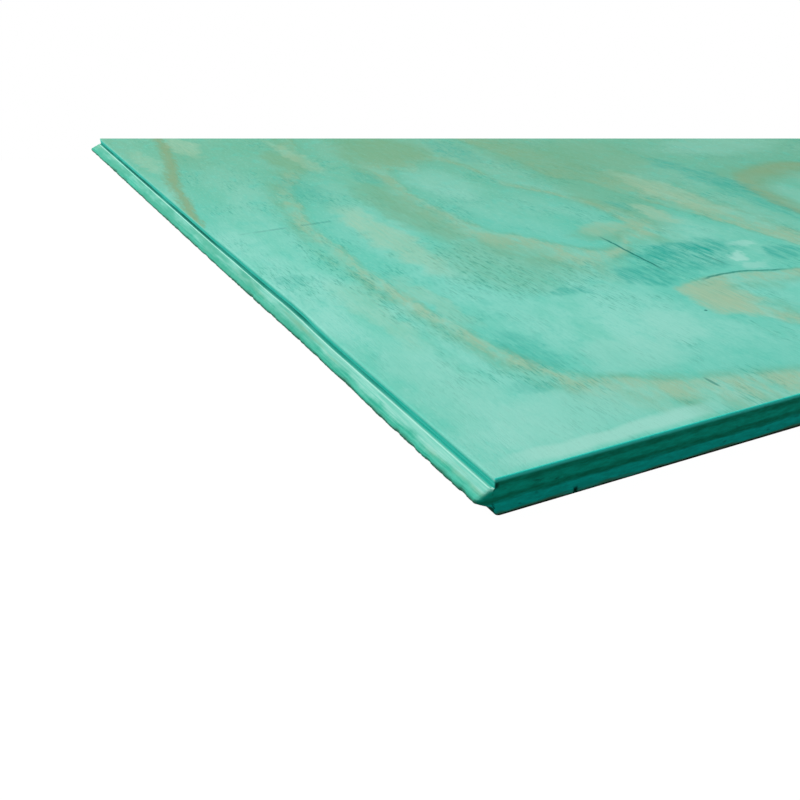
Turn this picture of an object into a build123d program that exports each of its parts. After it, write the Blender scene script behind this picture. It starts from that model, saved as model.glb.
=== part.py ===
"""Tongue and groove plywood sheet, five veneers thick.

The sheet lies flat on its back veneer. X runs across the sheet, from the tongued edge
at -X to the grooved edge at +X. Y runs along the sheet and along the grain of the face.
Z is up. The origin is under the middle of the sheet, on the floor. Lengths are in mm.
"""
from build123d import *
import os

# Sheet as it is sold: the width is the one that the sheet covers, without its tongue
sheet_length = 2400.0
cover_width = 1200.0

# Veneers, from the back up to the face
back_thickness = 2.4
lower_cross_thickness = 3.5
core_thickness = 2.7
upper_cross_thickness = 3.1
face_thickness = 3.3

# Tongue: a flat land beside the shoulder, then flanks that slope to a rounded nose
tongue_length = 7.3
tongue_root_thickness = 8.0
tongue_root_land = 0.8
tongue_nose_thickness = 1.4
tongue_nose_radius = 0.9

# Groove: takes the tongue of the next sheet, with room at its cheeks and past its nose
cheek_clearance = 0.2
nose_clearance = 0.8
lower_lip_setback = 0.5

# Long edges of the sheet, rounded by the cutter above and below the joint
top_arris_radius = 0.4
tongue_side_bottom_radius = 2.8
groove_side_bottom_radius = 1.5

# Places that follow from the sizes above
veneers = (
    ("back_veneer", back_thickness),
    ("lower_cross_veneer", lower_cross_thickness),
    ("core_veneer", core_thickness),
    ("upper_cross_veneer", upper_cross_thickness),
    ("face_veneer", face_thickness),
)
sheet_thickness = sum(thickness for _, thickness in veneers)
overall_width = cover_width + tongue_length
tongue_shoulder = tongue_length - overall_width / 2
groove_shoulder = overall_width / 2
joint_height = sheet_thickness / 2


def joint_section(clearance, length):
    """Section of the tongue, grown by a clearance, pointing to -X from its shoulder."""
    root = tongue_root_thickness / 2 + clearance
    nose = tongue_nose_thickness / 2 + clearance
    with BuildSketch() as joint:
        with BuildLine():
            Polyline(
                (0, root),
                (-tongue_root_land, root),
                (-length, nose),
                (-length, -nose),
                (-tongue_root_land, -root),
                (0, -root),
                close=True,
            )
        make_face()
        nose_corners = joint.vertices().group_by(Axis.X)[0]
        fillet(nose_corners, radius=tongue_nose_radius + clearance)
    return joint.sketch


tongue = joint_section(0, tongue_length)
groove = joint_section(cheek_clearance, tongue_length + nose_clearance)

# Section of the whole sheet across its grain, which every veneer shares
with BuildSketch(Plane.XZ) as section:
    with Locations(((tongue_shoulder + groove_shoulder) / 2, joint_height)):
        Rectangle(cover_width, sheet_thickness)
    with Locations((groove_shoulder, 0)):
        Rectangle(
            lower_lip_setback,
            joint_height,
            align=(Align.MAX, Align.MIN),
            mode=Mode.SUBTRACT,
        )
    fillet(section.vertices().group_by(Axis.Y)[-1], radius=top_arris_radius)
    bottom_corners = section.vertices().group_by(Axis.Y)[0].sort_by(Axis.X)
    fillet(bottom_corners[0], radius=tongue_side_bottom_radius)
    bottom_corners = section.vertices().group_by(Axis.Y)[0].sort_by(Axis.X)
    fillet(bottom_corners[-1], radius=groove_side_bottom_radius)
    with Locations((tongue_shoulder, joint_height)):
        add(tongue)
    with Locations((groove_shoulder, joint_height)):
        add(groove, mode=Mode.SUBTRACT)

# One solid for each veneer: its band of the section, run along the whole sheet
os.makedirs("parts", exist_ok=True)
veneer_bottom = 0.0
for name, thickness in veneers:
    with BuildPart() as veneer:
        with BuildSketch(Plane.XZ):
            add(section.sketch_local)
            with Locations((0, veneer_bottom)):
                Rectangle(
                    2 * overall_width,
                    thickness,
                    align=(Align.CENTER, Align.MIN),
                    mode=Mode.INTERSECT,
                )
        extrude(amount=sheet_length / 2, both=True)
    veneer.part.label = name
    export_step(veneer.part, f"parts/{name}.step")
    veneer_bottom += thickness
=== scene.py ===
import math

import bpy
import numpy as np
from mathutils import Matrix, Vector, noise


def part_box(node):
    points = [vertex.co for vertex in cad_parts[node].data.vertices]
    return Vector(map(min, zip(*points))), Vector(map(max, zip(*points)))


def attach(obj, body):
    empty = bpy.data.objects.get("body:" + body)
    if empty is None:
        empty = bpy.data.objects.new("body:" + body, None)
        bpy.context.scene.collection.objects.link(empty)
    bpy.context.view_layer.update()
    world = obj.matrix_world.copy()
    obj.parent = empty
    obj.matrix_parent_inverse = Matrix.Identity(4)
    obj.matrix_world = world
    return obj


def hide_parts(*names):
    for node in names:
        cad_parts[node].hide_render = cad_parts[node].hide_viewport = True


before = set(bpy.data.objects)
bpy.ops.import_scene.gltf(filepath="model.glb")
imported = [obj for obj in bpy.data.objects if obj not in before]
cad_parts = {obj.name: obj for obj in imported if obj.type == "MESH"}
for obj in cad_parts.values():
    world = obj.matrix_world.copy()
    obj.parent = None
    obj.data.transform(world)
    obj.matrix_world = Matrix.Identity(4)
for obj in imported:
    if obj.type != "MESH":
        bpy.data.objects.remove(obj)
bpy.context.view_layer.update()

# Back veneer: pine peeled off the log, with its grain along the sheet. The sheet lies on it.
# It is glued under the lower cross veneer. The jointing cutter and the saw cut all five plies
# at once, so the outline of the joint is settled here for the whole sheet.
MM = 0.001
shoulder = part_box("face_veneer")[0].x
groove_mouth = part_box("face_veneer")[1].x
groove_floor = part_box("core_veneer")[1].x
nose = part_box("core_veneer")[0].x
lower_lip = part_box("back_veneer")[1].x
near_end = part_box("face_veneer")[0].y
far_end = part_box("face_veneer")[1].y
sheet_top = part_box("face_veneer")[1].z
joint_height = sheet_top / 2

root_half, root_land = 4.0 * MM, 0.8 * MM
nose_half, nose_radius = 0.7 * MM, 0.9 * MM
cheek_clearance = 0.2 * MM
top_arris = 0.4 * MM
tongue_side_bottom, groove_side_bottom = 2.8 * MM, 1.5 * MM
worn_corner = 0.15 * MM
hair = 0.001 * MM


def softened(corners, steps=6):
    """Outline through (x, z, radius) corners, each one rounded by its radius."""
    points = [Vector(corners[0][:2])]
    for before, corner, after in zip(corners, corners[1:], corners[2:]):
        tip = Vector(corner[:2])
        back = (Vector(before[:2]) - tip).normalized()
        ahead = (Vector(after[:2]) - tip).normalized()
        half_angle = back.angle(ahead) / 2
        centre = tip + (back + ahead).normalized() * corner[2] / math.sin(half_angle)
        start = tip + back * corner[2] / math.tan(half_angle) - centre
        end = tip + ahead * corner[2] / math.tan(half_angle) - centre
        for turn in range(steps + 1):
            arm = start.lerp(end, turn / steps)
            points.append(centre + arm.normalized() * corner[2])
    points.append(Vector(corners[-1][:2]))
    return [tuple(point) for point in points]


def joint_outline(mouth, lip, lip_radius, tip, clearance, inward):
    """Long edge of the sheet from its back up to its face: mouth is the upper shoulder."""
    root = root_half + clearance
    point = nose_half + clearance
    land = mouth - root_land
    return softened([
        (lip + inward * lip_radius, 0, 0),
        (lip, 0, lip_radius),
        (lip, joint_height - root, worn_corner),
        (land, joint_height - root, worn_corner),
        (tip, joint_height - point, nose_radius + clearance),
        (tip, joint_height + point, nose_radius + clearance),
        (land, joint_height + root, worn_corner),
        (mouth, joint_height + root, worn_corner),
        (mouth, sheet_top, top_arris),
        (mouth + inward * top_arris, sheet_top, 0),
    ])


tongue_outline = joint_outline(shoulder, shoulder, tongue_side_bottom, nose, 0, 1)
groove_outline = joint_outline(
    groove_mouth, lower_lip, groove_side_bottom, groove_floor, cheek_clearance, -1
)


def between(outline, bottom, top, rows):
    """The outline's stretch between two heights, as evenly spaced points."""
    inside = []
    for (x0, z0), (x1, z1) in zip(outline, outline[1:]):
        flat = z1 - z0 < hair
        on_glue_line = flat and min(abs(z0 - bottom), abs(z0 - top)) < hair
        if on_glue_line and hair < z0 < sheet_top - hair:
            continue
        low = max(z0, bottom)
        high = min(z1, top)
        if high < low:
            continue
        for z in (low, high):
            share = 0 if flat else (z - z0) / (z1 - z0)
            inside.append((x0 + (x1 - x0) * share, z))
        if flat:
            inside.append((x1, z1))
    path = np.array(inside)
    run = np.concatenate([[0], np.cumsum(np.hypot(*np.diff(path, axis=0).T))])
    keep = np.concatenate([[True], np.diff(run) > 0.001 * hair])
    even = np.linspace(0, run[-1], rows)
    return np.stack([np.interp(even, run[keep], path[keep, i]) for i in (0, 1)], axis=1)


def graded(length, *stretches):
    """Stations from 0 to length: each stretch is (how far it reaches, its spacing)."""
    stations = [0.0]
    for reach, spacing in stretches:
        reach = min(reach, length)
        count = max(1, round((reach - stations[-1]) / spacing))
        stations.extend(np.linspace(stations[-1], reach, count + 1)[1:])
    return np.array(stations)


# Stations along and across the sheet: finest by the corner that the photograph shows, and at
# the rounded ends
end_arris = 0.6 * MM
tongue_end_radius = 2.0 * MM
arris_steps = tongue_end_radius * np.array([0.03, 0.1, 0.23, 0.46, 0.7, 1])
sheet_length = far_end - near_end
along = graded(
    sheet_length, (0.08, 0.0008), (0.25, 0.0014), (0.62, 0.0028), (math.inf, 0.015)
)
along = np.union1d(along, np.concatenate([arris_steps, sheet_length - arris_steps]))

slit_place, slit_width, slit_height, slit_depth = 33.5 * MM, 0.9 * MM, 1.7 * MM, 2.0 * MM
slit_inside, slit_outside = 0.5 * slit_width, 0.6 * slit_width
slit_walls = np.array([-slit_outside, -slit_inside, slit_inside, slit_outside])
cover_width = groove_mouth - shoulder
across = graded(cover_width, (0.045, 0.0009), (0.14, 0.003), (0.3, 0.01), (math.inf, 0.03))
across = np.union1d(across, slit_place + slit_walls)

# How far the cutter strayed inwards along the tongued edge, and how far the nose is worn
# back, both as (mm from the near end, mm)
cutter_stray = (
    (0, 0), (130, 0), (150, 0.5), (165, 1.1), (180, 1.3), (200, 0.9), (240, 0.5), (260, 0.4),
    (285, 0), (420, 0), (700, 0.2), (1100, 0), (1600, 0.3), (2400, 0),
)
nose_worn = (
    (0, 0.2), (20, 0), (75, 0), (95, 0.6), (105, 0.8), (120, 0.5), (135, 0.8), (165, 0.8),
    (200, 0.4), (240, 0.3), (285, 0.1), (600, 0.1), (1300, 0.4), (2400, 0.2),
)


def table_at(table, places):
    """A (place, value) table in mm, read at places in metres."""
    keys, values = np.array(table, dtype=float).T
    return np.interp(places / MM, keys, values) * MM


def ragged(size, seed):
    """Repeatable noise along the sheet, between -1 and 1, with features of a size."""
    heights = [noise.fractal(Vector((place / size, seed, seed)), 0.9, 2.1, 4) for place in along]
    return np.array(heights)


stray = table_at(cutter_stray, along)
worn = table_at(nose_worn, along)
chip_size, chip_depth = 6 * MM, 0.7 * MM
splinter_size, splinter_depth, splinter_start = 1.6 * MM, 0.25 * MM, 0.75
chips = chip_depth * ragged(chip_size, 3.1)
splinters = splinter_depth * ragged(splinter_size, 8.7)


def rounding(radius):
    """How far an arris with a radius at both ends draws the outline in, station by station."""
    from_end = np.minimum(along, sheet_length - along)
    depth = np.clip(radius - from_end, 0, radius)
    return radius - np.sqrt(np.maximum(radius ** 2 - depth ** 2, 0))


# The outline is blended into the flat middle of the sheet over these widths. At its ends the
# tongue is drawn in along X and Z, in full from a sixth of its length outwards.
tongue_blend, groove_blend = 12 * MM, 60 * MM
drawn_in_x, drawn_in_z, drawn_in_full = 5.0 * MM, 4.5 * MM, 1 / 6
arris_fade = 1.0 * MM
sharp_angle = math.radians(42)


def veneer_mesh(name, node, rows, open_top=False, open_bottom=False):
    """One ply cut to the sheet's edge: a closed shell with fine edges and ends."""
    low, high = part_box(node)
    tongue_side = between(tongue_outline, low.z, high.z, rows)
    groove_side = between(groove_outline, low.z, high.z, rows)
    by_tongue = np.clip(1 - across / tongue_blend, 0, 1)
    by_groove = np.clip(1 - (cover_width - across) / groove_blend, 0, 1)
    share = across / cover_width
    section_x = shoulder + across + (tongue_side[:, :1] - shoulder) * by_tongue
    section_x = section_x + (groove_side[:, :1] - groove_mouth) * by_groove
    section_z = tongue_side[:, 1:] * (1 - share) + groove_side[:, 1:] * share
    columns, stations = len(across), len(along)
    pulls = rounding(end_arris)
    shrinks = rounding(tongue_end_radius)
    in_slit = np.abs(across - slit_place) < (slit_inside + slit_outside) / 2
    places = {}
    corners = []

    def number(row, column, station):
        key = (row, column, station)
        if key in places:
            return places[key]
        x = section_x[row, column]
        y = near_end + along[station]
        z = section_z[row, column]
        # Wear: the cutter's stray beside the shoulder, worn and chipped fibres at the nose
        out = max(shoulder - x, 0) / (shoulder - nose)
        beside = 1 - min(max(x - shoulder, 0) / tongue_blend, 1)
        x += stray[station] * beside * (1 - out)
        x += out ** 2 * (worn[station] + max(chips[station], 0))
        if out > splinter_start:
            x += abs(splinters[station])
        # Ends: the tongue is rounded off, and the sheet's outer corners are broken
        pull = pulls[station]
        shrink = shrinks[station] * min(out / drawn_in_full, 1)
        x += (shoulder - x) * shrink / drawn_in_x
        z += (joint_height - z) * shrink / drawn_in_z
        if column == 0 and out == 0:
            x += pull
        if column == columns - 1:
            x -= pull
        if open_top:
            z -= pull * max(1 - (high.z - z) / arris_fade, 0)
        if open_bottom:
            z += pull * max(1 - (z - low.z) / arris_fade, 0)
        if station == 0 and in_slit[column] and z < slit_height:
            y += slit_depth
        places[key] = len(corners)
        corners.append((x, y, z))
        return places[key]

    faces = []

    def lay(ring, turned):
        face = [number(*corner) for corner in ring]
        faces.append(face[::-1] if turned else face)

    for station, turned in ((0, False), (stations - 1, True)):
        for r in range(rows - 1):
            for c in range(columns - 1):
                ring = [(r, c), (r, c + 1), (r + 1, c + 1), (r + 1, c)]
                lay([(*corner, station) for corner in ring], turned)
    for column, turned in ((0, False), (columns - 1, True)):
        for r in range(rows - 1):
            for s in range(stations - 1):
                ring = [(r, s), (r + 1, s), (r + 1, s + 1), (r, s + 1)]
                lay([(row, column, station) for row, station in ring], turned)
    for row, turned, fine in ((rows - 1, False, open_top), (0, True, open_bottom)):
        if fine:
            for s in range(stations - 1):
                for c in range(columns - 1):
                    ring = [(c, s), (c + 1, s), (c + 1, s + 1), (c, s + 1)]
                    lay([(row, *corner) for corner in ring], turned)
        else:
            rim = [(c, 0) for c in range(columns)]
            rim += [(columns - 1, s) for s in range(1, stations)]
            rim += [(c, stations - 1) for c in range(columns - 2, -1, -1)]
            rim += [(0, s) for s in range(stations - 2, 0, -1)]
            lay([(row, *corner) for corner in rim], turned)
    mesh = bpy.data.meshes.new(name)
    mesh.from_pydata(corners, [], faces)
    mesh.shade_smooth()
    mesh.set_sharp_from_angle(angle=sharp_angle)
    piece = bpy.data.objects.new(name, mesh)
    bpy.context.scene.collection.objects.link(piece)
    return piece


def add(tree, kind, inputs=None, **settings):
    """A node in a tree, with its settings, and with values or links for its inputs."""
    node = tree.nodes.new(kind)
    for key, value in settings.items():
        setattr(node, key, value)
    for key, value in (inputs or {}).items():
        if isinstance(value, bpy.types.NodeSocket):
            tree.links.new(value, node.inputs[key])
        else:
            node.inputs[key].default_value = value
    return node


def step(tree, operation, *values):
    """One arithmetic step on values or sockets."""
    return add(tree, "ShaderNodeMath", dict(enumerate(values)), operation=operation).outputs[0]


def times(tree, *values):
    """The product of several values."""
    result = values[0]
    for value in values[1:]:
        result = step(tree, "MULTIPLY", result, value)
    return result


def most(tree, *values):
    """The largest of several values."""
    result = values[0]
    for value in values[1:]:
        result = step(tree, "MAXIMUM", result, value)
    return result


def ramp(tree, value, low, high, to_low=0.0, to_high=1.0, smooth=True):
    """The value's stretch from low to high, spread over to_low and to_high."""
    kind = "SMOOTHSTEP" if smooth else "LINEAR"
    inputs = {"Value": value, 1: low, 2: high, 3: to_low, 4: to_high}
    return add(tree, "ShaderNodeMapRange", inputs, interpolation_type=kind).outputs[0]


def band(tree, value, low, high, soft):
    """1 between low and high, fading to 0 over a soft width at both sides."""
    rise = ramp(tree, value, low - soft, low + soft)
    fall = ramp(tree, value, high - soft, high + soft, 1, 0)
    return times(tree, rise, fall)


def blend(tree, share, first, second):
    """Two colours mixed by a share."""
    inputs = {0: share, 6: first, 7: second}
    return add(tree, "ShaderNodeMix", inputs, data_type="RGBA").outputs[2]


def mix_values(tree, share, first, second):
    """Two values mixed by a share."""
    return add(tree, "ShaderNodeMix", {0: share, 2: first, 3: second}).outputs[0]


def cloud(tree, place, size, detail=2.0, roughness=0.5, seed=0.0):
    """Smooth noise with features of a size in mm along X, Y and Z, from 0 to 1."""
    scale = tuple(1 / feature for feature in size)
    inputs = {"Vector": place, "Location": (seed, seed, seed), "Scale": scale}
    scaled = add(tree, "ShaderNodeMapping", inputs).outputs[0]
    inputs = {"Vector": scaled, "Scale": 1.0, "Detail": detail, "Roughness": roughness}
    return add(tree, "ShaderNodeTexNoise", inputs).outputs["Fac"]


def spread(tree, place, size, reach, detail=2.0, roughness=0.5, seed=0.0):
    """Smooth noise between minus and plus a reach."""
    value = cloud(tree, place, size, detail, roughness, seed)
    return ramp(tree, value, 0.2, 0.8, -reach, reach, smooth=False)


def tone(red, green, blue):
    """A colour given as it reads on screen, from 0 to 255."""
    channels = [c / 255 for c in (red, green, blue)]
    linear = [c / 12.92 if c <= 0.04 else ((c + 0.055) / 1.055) ** 2.4 for c in channels]
    return (*linear, 1.0)


def drawn_curve(tree, value, points):
    """A curve through given (input, output) points, both from 0 to 1."""
    node = add(tree, "ShaderNodeFloatCurve", {"Value": value})
    line = node.mapping.curves[0]
    line.points[0].location = points[0]
    line.points[1].location = points[-1]
    for point in points[1:-1]:
        line.points.new(*point)
    for point in line.points:
        point.handle_type = "AUTO_CLAMPED"
    node.mapping.update()
    return node.outputs[0]


def shader_group(name, inputs, outputs):
    """An empty shader group, with the sockets that it reads and writes."""
    tree = bpy.data.node_groups.new(name, "ShaderNodeTree")
    for socket_name, kind in inputs:
        tree.interface.new_socket(socket_name, in_out="INPUT", socket_type=kind)
    for socket_name, kind in outputs:
        tree.interface.new_socket(socket_name, in_out="OUTPUT", socket_type=kind)
    given = tree.nodes.new("NodeGroupInput").outputs
    result = tree.nodes.new("NodeGroupOutput").inputs
    return tree, given, result


def use_group(tree, group, **inputs):
    """A group placed in a tree, with its inputs given by name."""
    node = add(tree, "ShaderNodeGroup", node_tree=group)
    for key, value in inputs.items():
        socket = node.inputs[key.capitalize()]
        if isinstance(value, bpy.types.NodeSocket):
            tree.links.new(value, socket)
        else:
            socket.default_value = value
    return node.outputs


def moved(tree, place, x=0.0, y=0.0, z=0.0):
    """A place shifted by values or sockets, in mm."""
    shift = add(tree, "ShaderNodeCombineXYZ", {0: x, 1: y, 2: z}).outputs[0]
    return add(tree, "ShaderNodeVectorMath", {0: place, 1: shift}, operation="ADD").outputs[0]


def parts_of(tree, vector):
    """X, Y and Z of a vector."""
    return add(tree, "ShaderNodeSeparateXYZ", {0: vector}).outputs[:3]


COLOR, VALUE, VECTOR = "NodeSocketColor", "NodeSocketFloat", "NodeSocketVector"
pale_dye = tone(150, 225, 208)
plain_dye = tone(118, 212, 190)
full_dye = tone(92, 204, 184)
deep_dye = tone(44, 160, 138)
tan_wood = tone(160, 196, 162)
olive_wood = tone(118, 174, 136)
brown_wood = tone(130, 164, 122)
greyed_dye = tone(106, 162, 120)

# Rings of a peeled face as the lathe unrolls them: flames side by side, sized in mm
flame_width, flame_length, rings_per_flame = 250, 850, 5.0
flames, given, result = shader_group(
    "peeled_flames",
    [("Place", VECTOR), ("Seed", VALUE)],
    [("Late", VALUE), ("Before", VALUE)],
)
wander_x = spread(flames, given["Place"], (50, 120, 30), 14, detail=2.0)
wander_y = spread(flames, given["Place"], (30, 70, 31), 12, detail=1.0, seed=4.2)
rag = spread(flames, given["Place"], (4, 14, 9), 2.2, detail=3.0, roughness=0.6, seed=1.7)
warped = moved(flames, given["Place"], step(flames, "ADD", wander_x, rag), wander_y)
inputs = {"Vector": warped, "Scale": (1 / flame_width, 1 / flame_length, 0)}
scaled = add(flames, "ShaderNodeMapping", inputs).outputs[0]
cells = moved(flames, scaled, given["Seed"], given["Seed"])
inputs = {"Vector": cells, "Scale": 1.0, "Smoothness": 0.3, "Randomness": 0.85}
hearts = add(flames, "ShaderNodeTexVoronoi", inputs, feature="SMOOTH_F1", voronoi_dimensions="2D")
from_heart = hearts.outputs["Distance"]
drift = times(flames, cloud(flames, given["Place"], (170, 460, 50), detail=1.0, seed=2.4), 2.0)
rings = step(flames, "MULTIPLY_ADD", from_heart, rings_per_flame, drift)
past_ring = step(flames, "FRACT", rings)
fade_place = cloud(flames, given["Place"], (110, 300, 40), detail=1.0)
fade = ramp(flames, fade_place, 0.35, 0.65, 0.16, 0.78)
flames.links.new(ramp(flames, past_ring, 0, fade, 1, 0), result["Late"])
flames.links.new(ramp(flames, past_ring, 0.72, 1.0), result["Before"])

# Dye on a peeled face: pale and full in clouds, thin on the hard late wood, dark in the pores
peeled, given, result = shader_group(
    "dyed_peeled_face",
    [("Place", VECTOR), ("Late", VALUE), ("Before", VALUE), ("Rough", VALUE), ("Greyed", VALUE)],
    [("Color", COLOR), ("Height", VALUE)],
)
place = given["Place"]
clouds = ramp(peeled, cloud(peeled, place, (30, 70, 30), detail=4.0, roughness=0.6), 0.35, 0.68)
broad = ramp(peeled, cloud(peeled, place, (110, 260, 50), detail=1.0, seed=7.7), 0.35, 0.65)
fibres = cloud(peeled, place, (0.8, 26, 4), detail=3.0, roughness=0.6)
hairs = cloud(peeled, place, (0.65, 7, 3), detail=3.0, roughness=0.65, seed=3.3)
blotches = cloud(peeled, place, (7, 12, 9), detail=3.0, roughness=0.65, seed=5.1)
color = blend(peeled, clouds, pale_dye, plain_dye)
color = blend(peeled, times(peeled, broad, 0.35), color, full_dye)
color = blend(peeled, times(peeled, given["Before"], 0.5), color, full_dye)
peak = ramp(peeled, given["Late"], 0.6, 1.0)
wood = blend(peeled, peak, olive_wood, tan_wood)
patchy = cloud(peeled, place, (8, 24, 10), detail=3.0, roughness=0.6, seed=2.9)
late_share = times(peeled, given["Late"], ramp(peeled, patchy, 0.34, 0.62, 0.25, 0.85))
color = blend(peeled, late_share, color, wood)
color = blend(peeled, times(peeled, given["Greyed"], 0.62), color, greyed_dye)
color = blend(peeled, ramp(peeled, fibres, 0.45, 0.75, 0, 0.24), color, full_dye)
color = blend(peeled, ramp(peeled, fibres, 0.2, 0.42, 0.2, 0), color, pale_dye)
color = blend(peeled, ramp(peeled, blotches, 0.5, 0.72, 0, 0.36), color, full_dye)
grains = cloud(peeled, place, (1.3, 3.5, 3), detail=2.0, roughness=0.7, seed=6.6)
color = blend(peeled, ramp(peeled, grains, 0.5, 0.72, 0, 0.3), color, full_dye)
color = blend(peeled, ramp(peeled, grains, 0.3, 0.46, 0.25, 0), color, pale_dye)
rough_place = cloud(peeled, place, (22, 45, 20), detail=2.0, seed=8.8)
rough = most(peeled, ramp(peeled, rough_place, 0.48, 0.64, 0, 0.6), given["Rough"])
ticks = times(peeled, ramp(peeled, hairs, 0.5, 0.66), rough)
color = blend(peeled, times(peeled, ticks, 0.8), color, deep_dye)
peeled.links.new(color, result["Color"])
pores = ramp(peeled, hairs, 0.5, 0.66, 0.25, -0.35)
height = step(peeled, "MULTIPLY_ADD", fibres, 0.6, pores)
peeled.links.new(height, result["Height"])

# Dye on the cuts across the plies: end grain drinks it and goes dark, side grain stays lighter.
# The short ends are sawn, and the long edges are milled by the jointing cutter. Heights are in
# mm above the floor, and foot is where the upper shoulder stands on the tongue.
# Besides the dye, several layers here are painted light and shade, as said where each is laid.
foot = (joint_height + root_half) / MM
# Browner and darker towards the bottom of the cuts
browner_low_band = tone(76, 118, 90)
# Painted contact shadow: near-black along the bottom edge of the cuts
painted_contact_shadow = tone(14, 20, 8)
# Painted highlight on the rounded top arris of the sawn ends, partly the arris's own saturated dye
end_arris_highlight_and_dye = tone(60, 224, 206)
dark_spot = tone(0, 70, 56)
# Painted shade of a small hollow by the tongued corner, which the geometry doesn't cut
hollow_painted_shade = tone(0, 46, 38)
# Painted shade round the slit in the sawn end
slit_shade = tone(0, 40, 32)
tan_stain = tone(146, 186, 152)
handled_dye = tone(70, 172, 144)
# Painted shade on the tongue's lower flank and under the tongue
nose_shade = tone(52, 122, 98)
under_tongue_shade = tone(10, 96, 76)
# Painted highlight along the top of the tongue's slope, where it meets the land
root_arris_highlight = tone(178, 236, 220)
# A thin darker line along the edge of the land, above the highlight at the top of the slope
land_edge_dark = tone(24, 130, 114)
# Painted shade in the corner at the foot of the shoulder wall
root_corner_shade = tone(0, 104, 88)
# Painted highlight on the rounded top arris of the long edges, partly the worn arris's paler dye
top_arris_highlight_and_wear = tone(132, 222, 204)

cuts, given, result = shader_group(
    "dyed_cuts_painted_light_and_shade",
    [("Place", VECTOR), ("Normal", VECTOR)],
    [("Color", COLOR), ("Height", VALUE)],
)
place = given["Place"]
x, y, z = parts_of(cuts, place)
nx, ny = parts_of(cuts, given["Normal"])[:2]
bleed = spread(cuts, place, (18, 40, 1.6), 1.1, detail=3.0, roughness=0.6)
level = step(cuts, "ADD", z, bleed)
saw_marks = cloud(cuts, place, (5, 9, 1.2), detail=3.0, roughness=0.65, seed=2.2)
marked = ramp(cuts, saw_marks, 0.35, 0.7)
end = blend(cuts, marked, tone(0, 122, 96), tone(0, 148, 122))
upper_cut = blend(cuts, marked, tone(0, 156, 130), tone(0, 178, 154))
lower_cut = blend(cuts, marked, tone(0, 176, 160), tone(0, 198, 184))
# Painted contact shadow along the bottom edge of the cuts, with a wavy top
contact_shadow_share = ramp(cuts, step(cuts, "MULTIPLY_ADD", bleed, 0.3, z), 1.15, 0.7)
spots = cloud(cuts, place, (7, 9, 2.5), detail=2.0, seed=9.1)
# Painted shade of a small hollow in the sawn end, just beside the foot of the shoulder
corner_hollow_shade_share = times(cuts, ramp(cuts, x, 2.2, 0.8), band(cuts, z, foot - 0.1, foot + 1.9, 0.5))
# Painted shade round and above the slit in the sawn end
slit_shade_share = times(cuts, band(cuts, x, 32.6, 34.4, 0.5), ramp(cuts, z, 3.6, 2.2))
for mask, layer in (
    (band(cuts, level, 8.2, 11.3, 0.9), upper_cut),
    (band(cuts, level, 1.3, 5.9, 0.8), lower_cut),
    # Browner and darker towards the bottom
    (ramp(cuts, level, 2.2, 0.6, 0, 0.9), browner_low_band),
    (contact_shadow_share, painted_contact_shadow),
    # Painted highlight at the top of the sawn ends, partly saturated dye
    (ramp(cuts, z, 13.3, 14.5, 0, 0.9), end_arris_highlight_and_dye),
    (ramp(cuts, spots, 0.62, 0.78, 0, 0.7), dark_spot),
    (times(cuts, corner_hollow_shade_share, 0.8), hollow_painted_shade),
    (times(cuts, slit_shade_share, 0.9), slit_shade),
):
    end = blend(cuts, mask, end, layer)

streaks = cloud(cuts, place, (1.5, 24, 0.5), detail=3.0, roughness=0.6, seed=6.4)
streaked = ramp(cuts, streaks, 0.35, 0.65)
stains = cloud(cuts, place, (6, 60, 2.5), detail=2.0, seed=1.1)
cream = blend(cuts, streaked, tone(122, 208, 188), tone(156, 222, 206))
cream = blend(cuts, ramp(cuts, stains, 0.5, 0.68, 0, 0.7), cream, tan_stain)
teal = blend(cuts, streaked, tone(44, 172, 144), tone(84, 196, 170))
wall = blend(cuts, ramp(cuts, streaks, 0.35, 0.7), tone(38, 188, 168), tone(74, 208, 190))
waves = spread(cuts, place, (9, 16, 9), 0.9, detail=4.0, roughness=0.6, seed=5.5)
wavy = step(cuts, "ADD", z, waves)
handled = cloud(cuts, place, (9, 46, 6), detail=3.0, roughness=0.6, seed=7.2)
grimy = times(cuts, ramp(cuts, y, 60, 230, 0.1, 1), ramp(cuts, handled, 0.36, 0.6, 0.2, 0.85))
# Painted highlight along the top of the tongue's slope, just under the land
on_land = ramp(cuts, z, foot - 0.45, foot - 0.25)
root_highlight_share = times(cuts, on_land, ramp(cuts, nx, -0.36, -0.42))
# How patchy the two dark lines at the tongue's root are, weaker near the sawn end
root_line_patchiness = ramp(cuts, cloud(cuts, place, (20, 70, 20), detail=2.0, seed=3.1), 0.35, 0.6, 0.45, 1)
root_line_patchiness = times(cuts, root_line_patchiness, ramp(cuts, y, 30, 130, 0.2, 1))
# A thin darker line along the land's edge, picked out by the normal
by_foot = ramp(cuts, z, foot - 0.12, foot - 0.07)
land_edge_dark_share = times(cuts, by_foot, band(cuts, nx, -0.38, -0.08, 0.06), root_line_patchiness)
# Painted shade in the corner where the shoulder wall stands on the land
foot_height = step(cuts, "ADD", z, times(cuts, bleed, 0.35))
above_foot = ramp(cuts, z, foot - 0.03, foot)
root_shade_share = times(cuts, ramp(cuts, foot_height, foot + 1.0, foot + 0.6), above_foot, root_line_patchiness)
edge = teal
for mask, layer in (
    (ramp(cuts, wavy, 8.7, 10.3), cream),
    (grimy, handled_dye),
    # Painted shade: darker down the tongue's lower flank and deepest under the tongue
    (ramp(cuts, wavy, 8.6, 7.3), nose_shade),
    (ramp(cuts, wavy, 6.6, 4.0), under_tongue_shade),
    (root_highlight_share, root_arris_highlight),
    (land_edge_dark_share, land_edge_dark),
    (ramp(cuts, z, foot - 0.03, foot + 0.02), wall),
    (root_shade_share, root_corner_shade),
    # Painted highlight on the top arris of the long edges, partly wear
    (ramp(cuts, z, 13.3, 14.9), top_arris_highlight_and_wear),
):
    edge = blend(cuts, mask, edge, layer)
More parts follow.
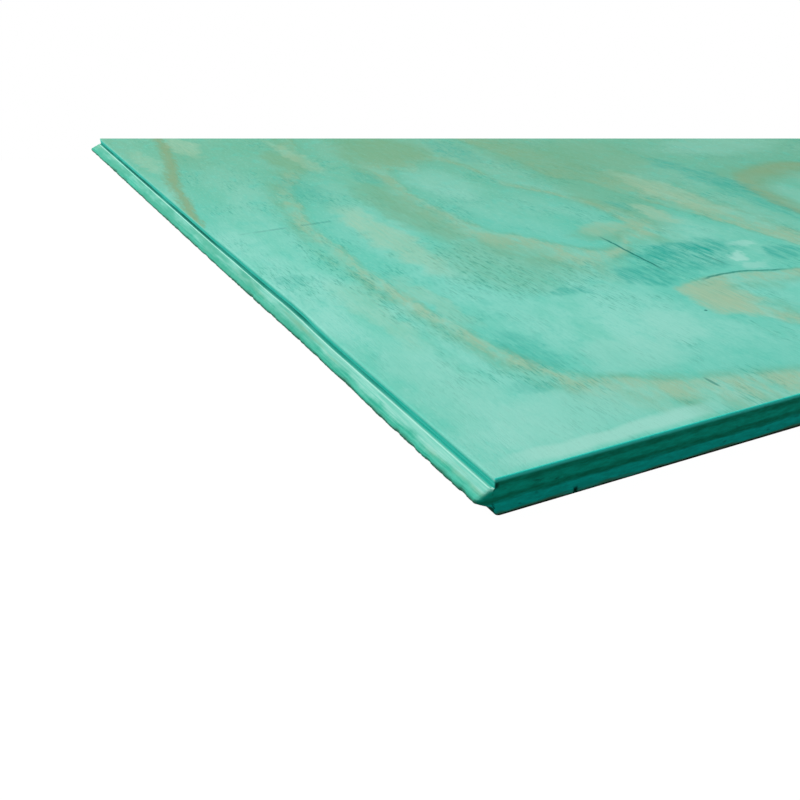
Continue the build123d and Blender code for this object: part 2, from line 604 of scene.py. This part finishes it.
at_end = ramp(cuts, step(cuts, "ABSOLUTE", ny), 0.4, 0.95)
cuts.links.new(blend(cuts, at_end, edge, end), result["Color"])
rough_cut = step(cuts, "ADD", times(cuts, saw_marks, 0.6), times(cuts, streaks, 0.4))
cuts.links.new(rough_cut, result["Height"])


def sheet_place(tree):
    """Object coordinates in mm, counted from the near corner of the tongued edge."""
    coordinates = add(tree, "ShaderNodeTexCoord").outputs["Object"]
    offset = (-shoulder / MM, -near_end / MM, 0.0)
    inputs = {"Vector": coordinates, "Location": offset, "Scale": (1 / MM, 1 / MM, 1 / MM)}
    return add(tree, "ShaderNodeMapping", inputs).outputs[0]


def veneer_material(name):
    """A ply's material and its tree, with the place and normal that its patterns follow."""
    material = bpy.data.materials.new(name)
    material.use_nodes = True
    tree = material.node_tree
    place = sheet_place(tree)
    normal = add(tree, "ShaderNodeNewGeometry").outputs["Normal"]
    return material, tree, place, normal


def outer_face(tree, place, normal):
    """1 on the face and the back of the sheet, and 0 on its cuts."""
    z = parts_of(tree, place)[2]
    nz = parts_of(tree, normal)[2]
    on_top = times(tree, ramp(tree, nz, 0.1, 0.5), ramp(tree, z, 14.3, 14.7))
    below = times(tree, ramp(tree, nz, -0.5, -0.8), ramp(tree, z, 0.4, 0.1))
    return most(tree, on_top, below)


grain_relief, grain_strength, sheen = 0.2 * MM, 0.5, 0.08


def dress(piece, material, color, height):
    """Colour and grain relief set on the shader, and the material on its piece."""
    tree = material.node_tree
    shader = tree.nodes["Principled BSDF"]
    shader.inputs["Specular IOR Level"].default_value = sheen
    tree.links.new(color, shader.inputs["Base Color"])
    polish = ramp(tree, height, 0.2, 0.7, 0.82, 0.62)
    tree.links.new(polish, shader.inputs["Roughness"])
    inputs = {"Strength": grain_strength, "Distance": grain_relief, "Height": height}
    tree.links.new(add(tree, "ShaderNodeBump", inputs).outputs[0], shader.inputs["Normal"])
    piece.data.materials.append(material)


back_veneer = veneer_mesh("back_veneer_peeled", "back_veneer", 9, open_bottom=True)
material, tree, place, normal = veneer_material("back_veneer_dyed")
cut = use_group(tree, cuts, place=place, normal=normal)
on_face = outer_face(tree, place, normal)
ring = use_group(tree, flames, place=place, seed=9.3)
grain = use_group(tree, peeled, place=place, late=ring["Late"], before=ring["Before"])
color = blend(tree, on_face, cut["Color"], grain["Color"])
height = mix_values(tree, on_face, cut["Height"], grain["Height"])
dress(back_veneer, material, color, height)
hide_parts("back_veneer")
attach(back_veneer, "root")

# Lower cross veneer: pine with its grain across the sheet, glued between the back and the
# core. It carries the underside of the tongue and the lower cheek of the groove.
lower_cross = veneer_mesh("lower_cross_veneer_cut", "lower_cross_veneer", 16)
material, tree, place, normal = veneer_material("lower_cross_dyed")
cut = use_group(tree, cuts, place=place, normal=normal)
dress(lower_cross, material, cut["Color"], cut["Height"])
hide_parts("lower_cross_veneer")
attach(lower_cross, "root")

# Core veneer: pine with its grain along the sheet, glued in the middle. The nose of the
# tongue is cut from it, so its outermost fibres are the ones that wear and tear.
core = veneer_mesh("core_veneer_cut", "core_veneer", 17)
material, tree, place, normal = veneer_material("core_dyed")
cut = use_group(tree, cuts, place=place, normal=normal)
dress(core, material, cut["Color"], cut["Height"])
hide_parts("core_veneer")
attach(core, "root")

# Upper cross veneer: pine with its grain across the sheet, glued under the face. The sloping
# top of the tongue and the foot of its shoulder are cut from it.
upper_cross = veneer_mesh("upper_cross_veneer_cut", "upper_cross_veneer", 16)
material, tree, place, normal = veneer_material("upper_cross_dyed")
cut = use_group(tree, cuts, place=place, normal=normal)
dress(upper_cross, material, cut["Color"], cut["Height"])
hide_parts("upper_cross_veneer")
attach(upper_cross, "root")

# Face veneer: the best pine, peeled off the log with its grain along the sheet and glued on
# top. By the near corner it shows one large flame, part of a second one, and a small island
# of late wood.

# A heart is a flame's (x, y) in mm and how many times longer than wide the flame is. A ring is
# drawn as (degrees, mm from the heart), and its fade as (degrees, mm past the ring).
flame_heart = (178, 275, 2.6)
flame_rings = (
    ((-180, 42), (-160, 42), (-135, 35), (-90, 39), (-60, 38), (-30, 46), (-10, 40), (10, 30),
     (30, 24), (50, 32), (75, 43), (95, 40), (110, 35), (130, 48), (145, 45), (180, 42)),
    ((-180, 122), (-165, 130), (-145, 138), (-135, 126), (-110, 104), (-80, 100), (-55, 106),
     (-35, 114), (-25, 102), (-5, 75), (5, 72), (15, 60), (25, 70), (45, 82), (65, 98), (90, 106),
     (115, 102), (135, 91), (150, 94), (165, 111), (180, 122)),
    ((-180, 205), (-160, 240), (-90, 290), (60, 290), (120, 225), (140, 182), (150, 166),
     (165, 171), (175, 178), (180, 205)),
)
ring_fades = (
    ((-180, 40), (-125, 38), (-105, 20), (-90, 9), (-70, 8), (-35, 26), (-15, 22), (0, 12),
     (20, 9), (45, 11), (60, 15), (75, 28), (90, 70), (105, 72), (120, 40), (140, 24), (165, 34),
     (180, 40)),
    ((-180, 19), (-135, 20), (-115, 22), (-90, 18), (-60, 26), (-40, 50), (0, 66), (45, 66),
     (75, 40), (110, 26), (130, 22), (160, 21), (180, 19)),
    ((-180, 9), (180, 9)),
)
arch_heart = (392, 120, 2.6)
arch_ring = (
    (-180, 76), (-145, 66), (-100, 56), (-60, 54), (-25, 68), (0, 74), (25, 72), (70, 58),
    (90, 58), (110, 60), (145, 75), (180, 76),
)
island_heart = (212, 80, 1.0)
island_ring = (
    (-180, 36), (-150, 33), (-130, 35), (-80, 51), (-55, 56), (5, 56), (25, 49), (60, 34),
    (100, 37), (130, 45), (145, 50), (160, 41), (180, 36),
)
longest_reach = 300.0

contour, given, result = shader_group(
    "ring_edge",
    [("Past", VALUE), ("Fade", VALUE)],
    [("Late", VALUE), ("Before", VALUE)],
)
rise = ramp(contour, given["Past"], -3.6, 2.6)
fade_start = times(contour, given["Fade"], 0.2)
fall = ramp(contour, given["Past"], fade_start, given["Fade"], 1, 0)
contour.links.new(times(contour, rise, fall), result["Late"])
nearing = ramp(contour, given["Past"], -26, -2)
not_past = ramp(contour, given["Past"], -1, 1, 1, 0)
contour.links.new(times(contour, nearing, not_past), result["Before"])

corner, given, result = shader_group(
    "corner_flames",
    [("Place", VECTOR)],
    [("Late", VALUE), ("Before", VALUE), ("Brown", VALUE)],
)
wander = spread(corner, given["Place"], (24, 55, 30), 2.2, detail=2.0, seed=0.9)
rag = spread(corner, given["Place"], (4, 9, 9), 2.0, detail=3.0, roughness=0.6, seed=1.7)
fringe = spread(corner, given["Place"], (1.0, 9, 9), 2.2, detail=2.0, roughness=0.6, seed=5.0)
sideways = step(corner, "ADD", step(corner, "ADD", wander, rag), fringe)
x, y = parts_of(corner, moved(corner, given["Place"], sideways))[:2]


def polar(tree, x, y, heart):
    """Distance from a flame's heart, and direction from 0 to 1."""
    u = step(tree, "SUBTRACT", x, heart[0])
    v = step(tree, "DIVIDE", step(tree, "SUBTRACT", y, heart[1]), heart[2])
    squares = step(tree, "MULTIPLY_ADD", u, u, times(tree, v, v))
    direction = ramp(tree, step(tree, "ARCTAN2", v, u), -math.pi, math.pi, smooth=False)
    return step(tree, "SQRT", squares), direction


def by_direction(tree, direction, table):
    """A drawn (degrees, mm) table read by direction."""
    points = [((degrees + 180) / 360, reach / longest_reach) for degrees, reach in table]
    return times(tree, drawn_curve(tree, direction, points), longest_reach)


def lying_over(tree, below, above, past):
    """A ring's late wood and dye laid over what is under it, where the ring is reached."""
    clear = ramp(tree, past, -1, 1, 1, 0)
    late = most(tree, times(tree, below[0], clear), above["Late"])
    before = most(tree, times(tree, below[1], clear), above["Before"])
    return late, before


distance, direction = polar(corner, x, y, flame_heart)
shown = (0.0, 0.0)
for ring_table, fade_table in zip(flame_rings, ring_fades):
    past = step(corner, "SUBTRACT", distance, by_direction(corner, direction, ring_table))
    fade = by_direction(corner, direction, fade_table)
    ring = use_group(corner, contour, past=past, fade=fade)
    shown = lying_over(corner, shown, ring, past)
brown_line = ring["Late"]

distance, direction = polar(corner, x, y, arch_heart)
past = step(corner, "SUBTRACT", by_direction(corner, direction, arch_ring), distance)
arch = use_group(corner, contour, past=past, fade=17.0)
shown = lying_over(corner, shown, arch, past)
brown = most(corner, brown_line, times(corner, arch["Late"], 0.7))

distance, direction = polar(corner, x, y, island_heart)
past = step(corner, "SUBTRACT", by_direction(corner, direction, island_ring), distance)
island = use_group(corner, contour, past=past, fade=34.0)
shown = lying_over(corner, shown, island, past)
corner.links.new(shown[0], result["Late"])
corner.links.new(shown[1], result["Before"])
corner.links.new(brown, result["Brown"])

# Marks on the face by the corner: (x, y, half width, half length in mm, strength)
dark_marks = (
    (212, 152, 36, 18, 0.9), (224, 152, 12, 9, 1.0), (172, 132, 18, 18, 0.8), (196, 132, 28, 12, 0.7),
    (258, 128, 14, 10, 0.7), (327, 262, 12, 60, 0.6), (316, 195, 9, 45, 0.5), (235, 238, 7, 12, 0.5),
    (68, 82, 9, 24, 0.5), (124, 132, 12, 7, 0.6), (12, 205, 9, 10, 0.4), (52, 52, 10, 9, 0.35),
    (128, 365, 9, 26, 0.35), (215, 400, 13, 42, 0.4), (80, 355, 12, 40, 0.35),
)
pale_marks = (
    (231, 133, 7, 6, 0.9), (105, 60, 26, 22, 0.4), (20, 70, 18, 50, 0.35), (250, 148, 9, 7, 0.6),
    (165, 330, 20, 44, 0.25), (232, 120, 10, 5, 0.5), (140, 75, 16, 20, 0.3), (45, 26, 44, 22, 0.45),
    (400, 330, 50, 32, 0.25),
)
tan_marks = (
    (184, 92, 17, 24, 0.75), (84, 245, 13, 72, 0.5), (281, 250, 12, 62, 0.5), (48, 505, 10, 40, 0.45),
    (60, 150, 9, 40, 0.3), (30, 150, 10, 50, 0.25), (12, 470, 8, 40, 0.3), (244, 215, 8, 22, 0.5),
    (200, 205, 18, 12, 0.4), (90, 26, 22, 16, 0.15), (146, 12, 9, 9, 0.2), (108, 440, 6, 60, 0.35),
)
rough_marks = (
    (104, 180, 26, 52, 1.0), (140, 150, 26, 26, 0.7), (38, 200, 8, 90, 0.8), (12, 200, 10, 30, 0.7),
    (205, 150, 36, 24, 0.9), (185, 150, 10, 20, 0.6), (108, 310, 10, 24, 0.6), (233, 232, 9, 18, 0.8),
)
olive_marks = (
    (170, 425, 36, 46, 0.85), (98, 428, 14, 36, 0.75), (116, 290, 17, 75, 0.6), (255, 350, 26, 90, 0.6),
    (300, 345, 36, 55, 0.55), (118, 180, 34, 48, 0.4), (240, 250, 22, 60, 0.5), (360, 262, 30, 18, 0.45),
    (195, 198, 22, 16, 0.5), (184, 95, 15, 20, 0.55), (240, 290, 14, 50, 0.4), (40, 470, 14, 40, 0.3),
)
specks = ((165, 83, 0.9, 0.9, 1.0), (115, 24, 0.9, 5, 0.7))
marks, given, result = shader_group(
    "corner_marks",
    [("Place", VECTOR)],
    [("Dark", VALUE), ("Pale", VALUE), ("Olive", VALUE), ("Tan", VALUE), ("Cracks", VALUE),
     ("Rough", VALUE), ("Greyed", VALUE)],
)
wobble_x = spread(marks, given["Place"], (12, 16, 20), 7, detail=3.0, roughness=0.6, seed=3.9)
wobble_y = spread(marks, given["Place"], (11, 17, 20), 7, detail=3.0, roughness=0.6, seed=6.1)
loose = moved(marks, given["Place"], wobble_x, wobble_y)


def patches(tree, place, spots):
    """Soft oval patches, the strongest one winning."""
    x, y = parts_of(tree, place)[:2]
    strongest = 0.0
    for middle_x, middle_y, half_width, half_length, strength in spots:
        u = step(tree, "MULTIPLY_ADD", x, 1 / half_width, -middle_x / half_width)
        v = step(tree, "MULTIPLY_ADD", y, 1 / half_length, -middle_y / half_length)
        away = step(tree, "MULTIPLY_ADD", u, u, times(tree, v, v))
        strongest = most(tree, ramp(tree, away, 1.3, 0.2, 0, strength), strongest)
    return strongest


def crack(tree, aside, width, *shares):
    """A thin dark line where aside is near 0, with its strength."""
    line = ramp(tree, step(tree, "ABSOLUTE", aside), width, width * 0.25)
    return times(tree, line, *shares)


# Cracks, a scratch and the pale strip by the sawn end, in mm: where each one lies, how far it
# runs and how wide it is
split_place, split_lean, split_run, split_width = 173.8, 0.075, (136, 190), 1.1
short_place, short_run, short_width = 218.0, (128, 141), 1.0
arc_start, arc_end, arc_foot, arc_height, arc_width = 176, 250, 103.0, 25.0, 1.5
arc_run = (193, 238)
arc_points = (
    (0.0, 0.1), (0.12, 0.25), (0.28, 0.52), (0.45, 0.53), (0.6, 0.45), (0.75, 0.27), (0.88, 0.16),
    (1.0, 0.05),
)
scratch_place, scratch_run, scratch_width = 287.0, (4, 74), 2.0
strip_across, strip_along = (12, 100), (3.0, 12)

x, y = parts_of(marks, given["Place"])[:2]
greyed = step(marks, "MULTIPLY_ADD", y, 0.85, times(marks, x, 0.5))
crack_noise = spread(marks, given["Place"], (20, 5, 20), 0.5, detail=3.0, seed=7.3)
split_line = step(marks, "MULTIPLY_ADD", y, split_lean, split_place)
split_aside = step(marks, "SUBTRACT", x, step(marks, "ADD", split_line, crack_noise))
split = crack(marks, split_aside, split_width, band(marks, y, *split_run, 9))
short_aside = step(marks, "SUBTRACT", x, short_place)
short = crack(marks, short_aside, short_width, band(marks, y, *short_run, 4), 0.6)
arc_share = drawn_curve(marks, ramp(marks, x, arc_start, arc_end, smooth=False), arc_points)
arc_noise = spread(marks, given["Place"], (5, 20, 20), 0.8, detail=3.0, seed=2.9)
arc_line = step(marks, "MULTIPLY_ADD", arc_share, arc_height, arc_foot)
arc_aside = step(marks, "SUBTRACT", step(marks, "ADD", arc_line, arc_noise), y)
arc = crack(marks, arc_aside, arc_width, band(marks, x, *arc_run, 5), 0.8)
scratch_gaps = ramp(marks, cloud(marks, given["Place"], (9, 30, 30), detail=2.0), 0.42, 0.55)
scratch_aside = step(marks, "SUBTRACT", y, scratch_place)
scratch_along = band(marks, x, *scratch_run, 4)
scratch = crack(marks, scratch_aside, scratch_width, scratch_along, scratch_gaps, 0.3)
# The cracks are painted shade: dark lines where the surface has no cut. The scratch and the specks are
# darkened with them.
cracks = most(marks, split, short, arc, scratch, patches(marks, given["Place"], specks))
dye_pools = cloud(marks, given["Place"], (3.5, 15, 9), detail=4.0, roughness=0.6, seed=2.2)
pooled = ramp(marks, dye_pools, 0.34, 0.64, 0.35, 1.0)
marks.links.new(times(marks, patches(marks, loose, dark_marks), pooled), result["Dark"])
strip_y = step(marks, "ADD", y, spread(marks, given["Place"], (16, 16, 20), 1.5, detail=2.0))
strip_share = band(marks, x, *strip_across, 18)
strip = times(marks, strip_share, band(marks, strip_y, *strip_along, 2.4), 0.85)
pale = most(marks, patches(marks, loose, pale_marks), strip)
marks.links.new(pale, result["Pale"])
marks.links.new(patches(marks, loose, tan_marks), result["Tan"])
marks.links.new(patches(marks, loose, rough_marks), result["Rough"])
marks.links.new(patches(marks, loose, olive_marks), result["Olive"])
marks.links.new(ramp(marks, greyed, 170, 470), result["Greyed"])
marks.links.new(cracks, result["Cracks"])

# The drawn corner gives way to the plain flames between these distances in mm
drawn_across, drawn_along = (440, 580), (600, 820)
face_veneer = veneer_mesh("face_veneer_peeled", "face_veneer", 10, open_top=True)
material, tree, place, normal = veneer_material("face_veneer_dyed")
cut = use_group(tree, cuts, place=place, normal=normal)
on_face = outer_face(tree, place, normal)
x, y = parts_of(tree, place)[:2]
in_corner = times(tree, ramp(tree, x, *drawn_across, 1, 0), ramp(tree, y, *drawn_along, 1, 0))
ring = use_group(tree, flames, place=place, seed=3.7)
near = use_group(tree, corner, place=place)
mark = use_group(tree, marks, place=place)
late = mix_values(tree, in_corner, ring["Late"], near["Late"])
before = mix_values(tree, in_corner, ring["Before"], near["Before"])
rough = times(tree, in_corner, mark["Rough"])
grey_clouds = ramp(tree, cloud(tree, place, (240, 500, 60), detail=1.0, seed=4.4), 0.35, 0.65, 0.3, 0.9)
greyed = mix_values(tree, in_corner, grey_clouds, mark["Greyed"])
grain = use_group(tree, peeled, place=place, late=late, before=before, rough=rough, greyed=greyed)
fibre_gaps = ramp(tree, cloud(tree, place, (0.9, 18, 4), detail=2.0, seed=1.3), 0.35, 0.65, 0.6, 1)
face_color = grain["Color"]
for mask, strength, mark_color in (
    (mark["Olive"], fibre_gaps, olive_wood),
    (mark["Tan"], fibre_gaps, tone(176, 206, 174)),
    (near["Brown"], 0.75, brown_wood),
    (mark["Pale"], 1.0, tone(164, 227, 211)),
    (mark["Dark"], fibre_gaps, tone(20, 168, 152)),
    # Painted shade in the cracks, with the scratch and the specks
    (mark["Cracks"], 0.9, tone(10, 124, 110)),
):
    face_color = blend(tree, times(tree, in_corner, mask, strength), face_color, mark_color)
# Painted highlight on the face's rounded arris at the sawn ends, partly the arris's own saturated dye
from_end = step(tree, "MINIMUM", y, step(tree, "SUBTRACT", sheet_length / MM, y))
face_color = blend(tree, ramp(tree, from_end, 1.2, 0.3), face_color, tone(44, 226, 208))
color = blend(tree, on_face, cut["Color"], face_color)
height = mix_values(tree, on_face, cut["Height"], grain["Height"])
dress(face_veneer, material, color, height)
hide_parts("face_veneer")
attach(face_veneer, "root")

# Floor, light and camera: the sheet lies on a white studio floor, seen from beside its
# near corner as in the photograph
floor_half = 12.0

# The camera sees floor and backdrop as white, and a greyer light falls on the sheet
floor_grey, floor_glow, floor_glow_share = (0.35, 0.35, 0.35, 1), 1.2, 0.82
room_light, backdrop_light = 0.36, 1.0
white = (1, 1, 1, 1)
floor_mesh = bpy.data.meshes.new("studio_floor")
floor_mesh.from_pydata(
    [(-floor_half, -floor_half, 0), (floor_half, -floor_half, 0),
     (floor_half, floor_half, 0), (-floor_half, floor_half, 0)],
    [], [(0, 1, 2, 3)],
)
floor = bpy.data.objects.new("studio_floor", floor_mesh)
bpy.context.scene.collection.objects.link(floor)
floor_material = bpy.data.materials.new("studio_floor_white")
floor_material.use_nodes = True
tree = floor_material.node_tree
shader = tree.nodes["Principled BSDF"]
shader.inputs["Base Color"].default_value = floor_grey
shader.inputs["Roughness"].default_value = 0.9
shader.inputs["Specular IOR Level"].default_value = 0.0
glow = add(tree, "ShaderNodeEmission", {"Color": white, "Strength": floor_glow})
rays = add(tree, "ShaderNodeLightPath").outputs
share = times(tree, rays["Is Camera Ray"], floor_glow_share)
mixed = add(tree, "ShaderNodeMixShader", {0: share, 1: shader.outputs[0], 2: glow.outputs[0]})
tree.links.new(mixed.outputs[0], tree.nodes["Material Output"].inputs[0])
floor_mesh.materials.append(floor_material)

world = bpy.data.worlds.new("studio_world")
bpy.context.scene.world = world
world.use_nodes = True
tree = world.node_tree
background = tree.nodes["Background"]
background.inputs["Color"].default_value = white
rays = add(tree, "ShaderNodeLightPath").outputs
seen = most(tree, rays["Is Camera Ray"], rays["Is Transmission Ray"], rays["Is Glossy Ray"])
strength = ramp(tree, seen, 0, 1, room_light, backdrop_light, smooth=False)
tree.links.new(strength, background.inputs["Strength"])

lamp_place, lamp_aim = Vector((-2.4, 1.4, 2.7)), Vector((-0.3, -0.6, 0))
lamp_data = bpy.data.lights.new("soft_box_above", "AREA")
lamp_data.size = 2.6
lamp_data.energy = 160.0
lamp = bpy.data.objects.new("soft_box_above", lamp_data)
lamp.location = lamp_place
lamp.rotation_euler = (lamp_aim - lamp_place).to_track_quat("-Z", "Y").to_euler()
bpy.context.scene.collection.objects.link(lamp)

camera_azimuth, camera_pitch = -27.406, 26.689
camera_from_corner = Vector((-0.16517, -0.25033, 0.19428))
focal_length, sensor = 47.356, 36.0

# The photograph is cut off in a straight line above the sheet, and the far clip does the same
photo_crop_depth = 0.7894
camera_data = bpy.data.cameras.new("photo_camera")
camera_data.lens = focal_length
camera_data.sensor_width = sensor
camera_data.clip_start = 0.01
camera_data.clip_end = photo_crop_depth
camera = bpy.data.objects.new("photo_camera", camera_data)
camera.location = Vector((shoulder, near_end, 0)) + camera_from_corner
camera.rotation_euler = (math.radians(90 - camera_pitch), 0, math.radians(camera_azimuth))
bpy.context.scene.collection.objects.link(camera)
bpy.context.scene.camera = camera
bpy.context.scene.view_settings.view_transform = "Standard"
